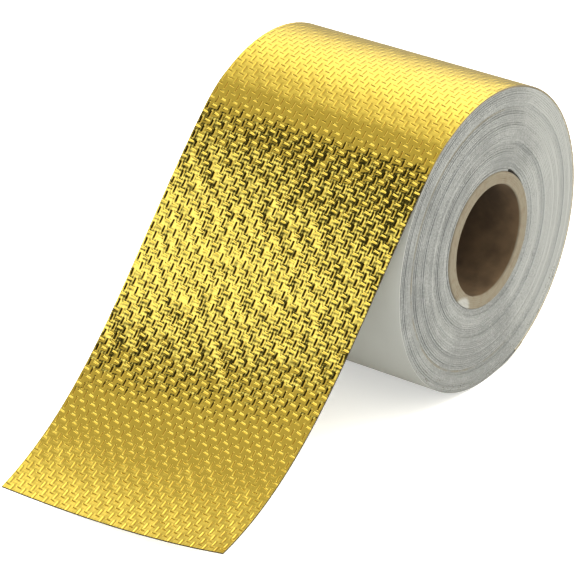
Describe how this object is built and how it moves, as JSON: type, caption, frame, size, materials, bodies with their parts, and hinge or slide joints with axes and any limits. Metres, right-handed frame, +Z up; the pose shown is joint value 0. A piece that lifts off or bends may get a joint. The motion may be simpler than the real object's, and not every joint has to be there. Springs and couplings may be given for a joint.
{
  "type": "roll of reflective heat tape",
  "caption": "Roll of gold foil-faced glass-cloth heat tape on a cardboard core, lying on its side with its free end peeled off and pulled down to the floor.",
  "frame": {"origin": "where the roll touches the floor, at the middle of the tape's width", "axes": "+Z up, X along the roll's axis, and the free end comes off over the top towards -Y and lands on the floor"},
  "size_m": [0.0523, 0.1142, 0.0589],
  "materials": {
    "core_card": "matte",
    "tape_edges": "matte",
    "liner_paper": "satin",
    "gold_foil": "satin"
  },
  "bodies": {
    "root": {"cardboard_core": "core_card", "wound_turns": "tape_edges", "release_liner": "liner_paper", "gold_foil_tape": "gold_foil"}
  },
  "joints": []
}
